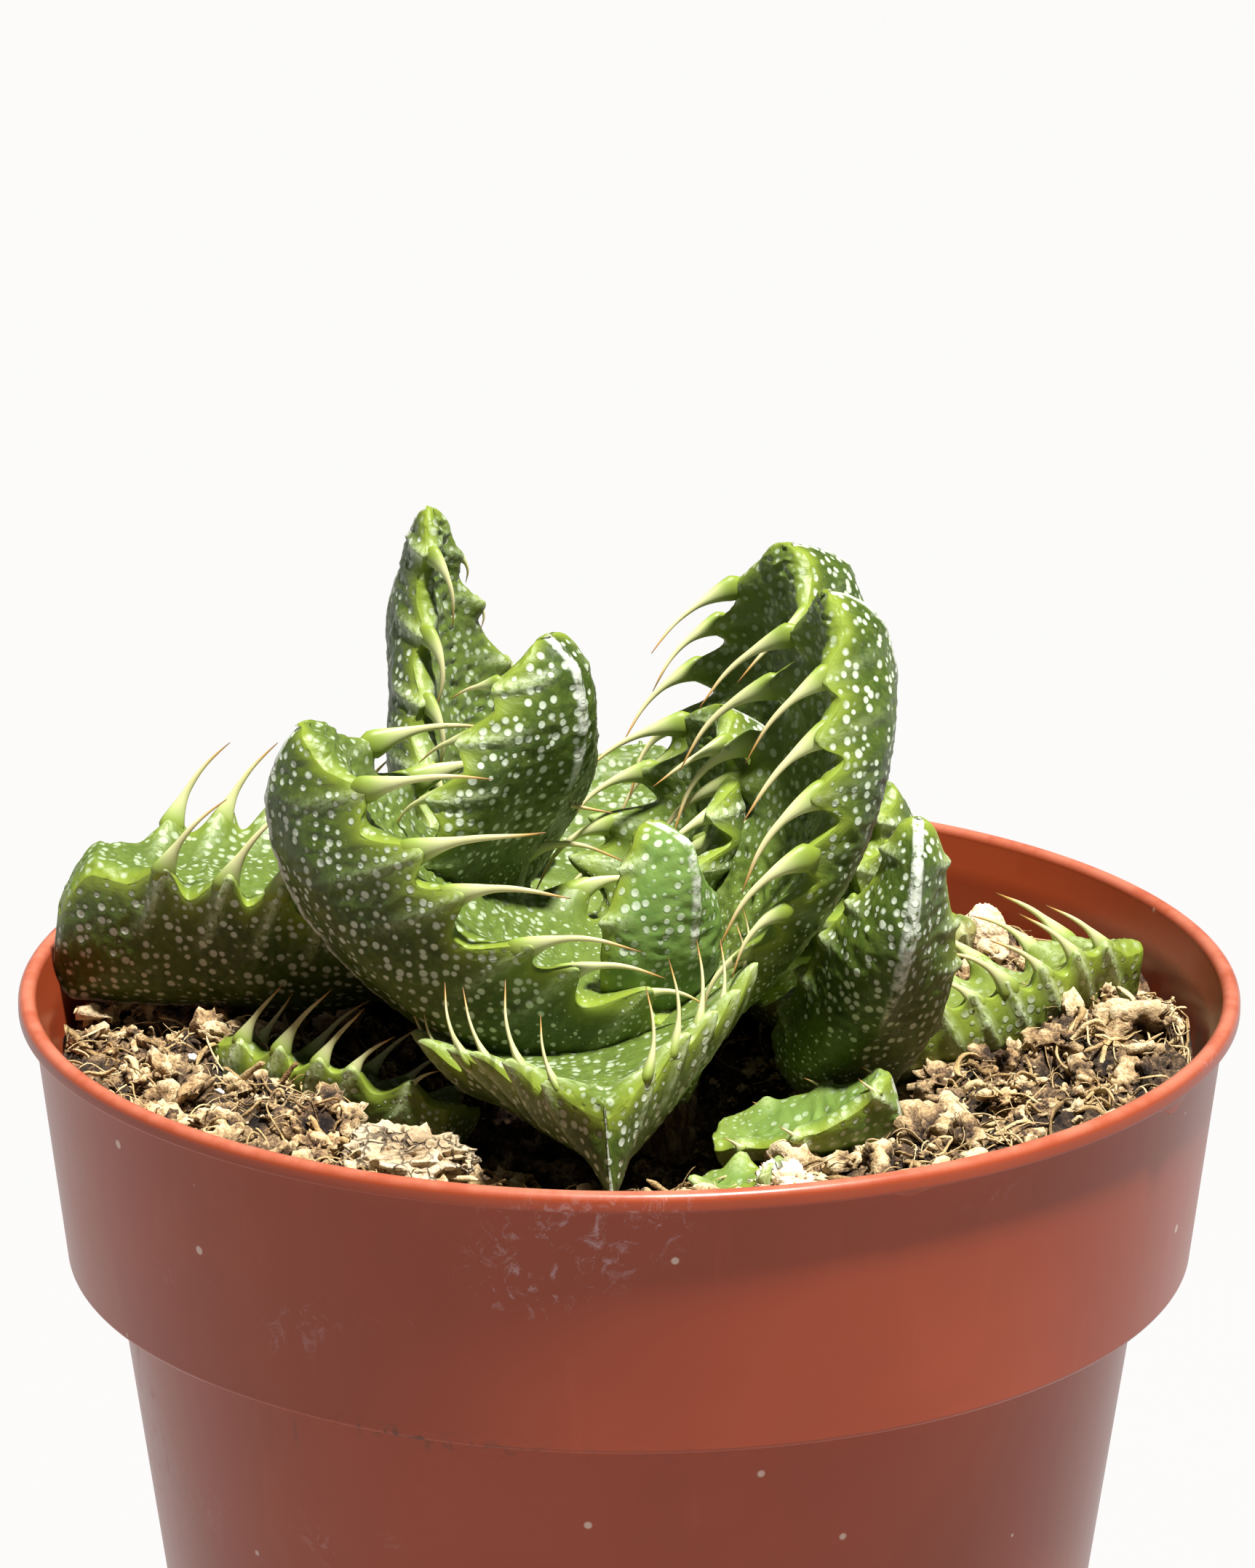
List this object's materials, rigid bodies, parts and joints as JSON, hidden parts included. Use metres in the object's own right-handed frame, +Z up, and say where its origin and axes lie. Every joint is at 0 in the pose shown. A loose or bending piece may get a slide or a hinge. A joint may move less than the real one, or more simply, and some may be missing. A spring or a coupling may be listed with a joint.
{
  "type": "potted tiger jaws plant",
  "caption": "Succulent rosette of toothed, keeled leaves growing in soil in a round stepped plastic nursery pot.",
  "frame": {"origin": "centre of the pot's foot, on the surface the pot stands on", "axes": "+Z up along the pot's axis, -Y towards the viewer of the plant's front, +X to that viewer's right"},
  "size_m": [0.09, 0.09, 0.1118],
  "materials": {
    "pot_plastic": "smooth moulded terracotta-coloured polypropylene, satin, with dust smears",
    "soil_mix": "dry peat and coir crumbs with fibres; wood stands for its low density",
    "stem_bark": "short brown woody crown",
    "leaf_green": null,
    "stone_pale": "dry chalky pumice and perlite"
  },
  "bodies": {
    "root": {"pot": "pot_plastic", "soil": "soil_mix", "stem": "stem_bark", "leaf_front_left": "leaf_green", "leaf_right": "leaf_green", "leaf_front": "leaf_green", "leaf_young": "leaf_green", "leaf_left": "leaf_green", "leaf_back_left_tall": "leaf_green", "leaf_left_inner": "leaf_green", "leaf_back_right_tall": "leaf_green", "leaf_right_inner": "leaf_green", "leaf_right_outer": "leaf_green", "leaf_right_low": "leaf_green", "leaf_left_low": "leaf_green", "leaf_front_right_small": "leaf_green", "leaf_front_tiny": "leaf_green", "leaf_right_behind": "leaf_green", "leaf_back_right_low": "leaf_green", "leaf_back": "leaf_green", "leaf_back_low": "leaf_green", "leaf_back_left_low": "leaf_green", "stone_pale_large": "stone_pale", "stone_pumice": "stone_pale", "stone_pale_small": "stone_pale", "stone_perlite": "stone_pale"}
  },
  "joints": []
}
